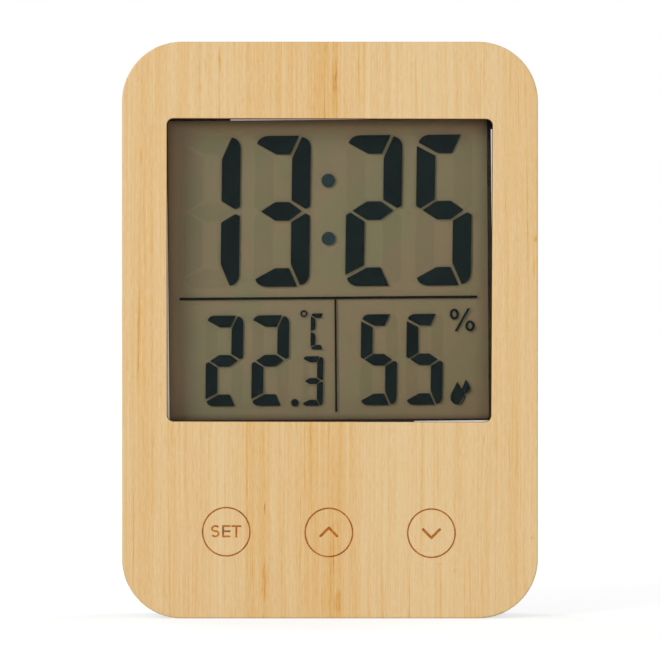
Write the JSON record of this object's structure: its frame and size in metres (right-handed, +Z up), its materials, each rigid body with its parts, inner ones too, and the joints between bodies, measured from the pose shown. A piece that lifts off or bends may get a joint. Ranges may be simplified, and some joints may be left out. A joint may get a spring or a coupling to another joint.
{
  "type": "home weather station",
  "caption": "Upright rounded indoor weather station and clock: bamboo front with touch keys, grey LCD window, black case with fold-out stand, battery door and wall keyhole.",
  "frame": {"origin": "on the standing surface, under the middle of the width and depth", "axes": "+X to the right seen from the front, +Y to the back, +Z up"},
  "size_m": [0.101, 0.022, 0.14],
  "materials": {
    "bamboo": "satin laminated bamboo with burnt engraving",
    "tape_white": "matt white double-sided tape",
    "clear_lens": "clear glossy acrylic",
    "black_abs": "fine-textured black ABS",
    "lcd_film": "satin film",
    "lcd_glass": "clear glass",
    "lcd_reflector": "khaki grey reflective film",
    "zebra_rubber": "striped silicone rubber",
    "white_abs": "natural white ABS",
    "screw_steel": "zinc plated steel",
    "board_green": "green solder mask",
    "black_resin": "black epoxy",
    "chip_plastic": "moulded chip package",
    "tinned_metal": "tinned can",
    "capacitor_can": "aluminium can",
    "sensor_white": "white ceramic",
    "spring_steel": "bright spring wire",
    "cell_jacket": "printed battery jacket",
    "contact_steel": "nickel plated spring steel",
    "wire_red": "PVC insulation",
    "wire_black": "PVC insulation"
  },
  "bodies": {
    "station": {"bamboo_panel": "bamboo", "panel_tape": "tape_white", "window_lens": "clear_lens", "front_frame": "black_abs", "lcd_front_polariser": "lcd_film", "lcd_front_glass": "lcd_glass", "lcd_rear_glass": "lcd_glass", "lcd_reflector": "lcd_reflector", "zebra_connector": "zebra_rubber", "lcd_holder": "white_abs", "lcd_holder_screws": "screw_steel", "main_circuit_board": "board_green", "board_screws": "screw_steel", "controller_chip": "black_resin", "touch_chip": "chip_plastic", "clock_crystal": "tinned_metal", "smoothing_capacitor": "capacitor_can", "buzzer": "chip_plastic", "humidity_sensor": "sensor_white", "temperature_sensor": "black_resin", "touch_spring_set": "spring_steel", "touch_spring_up": "spring_steel", "touch_spring_down": "spring_steel", "rear_shell": "black_abs", "case_screws": "screw_steel", "battery_cell_lower": "cell_jacket", "battery_cell_upper": "cell_jacket", "battery_negative_contact": "contact_steel", "battery_positive_contact": "contact_steel", "battery_bridge_contact": "contact_steel", "battery_lead_red": "wire_red", "battery_lead_black": "wire_black"},
    "stand": {"stand_flap": "black_abs"},
    "battery_door": {"battery_cover": "black_abs"}
  },
  "joints": [
    {"name": "stand_hinge", "type": "hinge", "parent": "station", "child": "stand", "pos_m": [0, 0.0089, 0.0625], "axis": [1, 0, 0], "range_deg": [0, 35]},
    {"name": "battery_cover_hinge", "type": "hinge", "parent": "station", "child": "battery_door", "pos_m": [0, 0.011, 0.0847], "axis": [-1, 0, 0], "range_deg": [0, 60]}
  ]
}
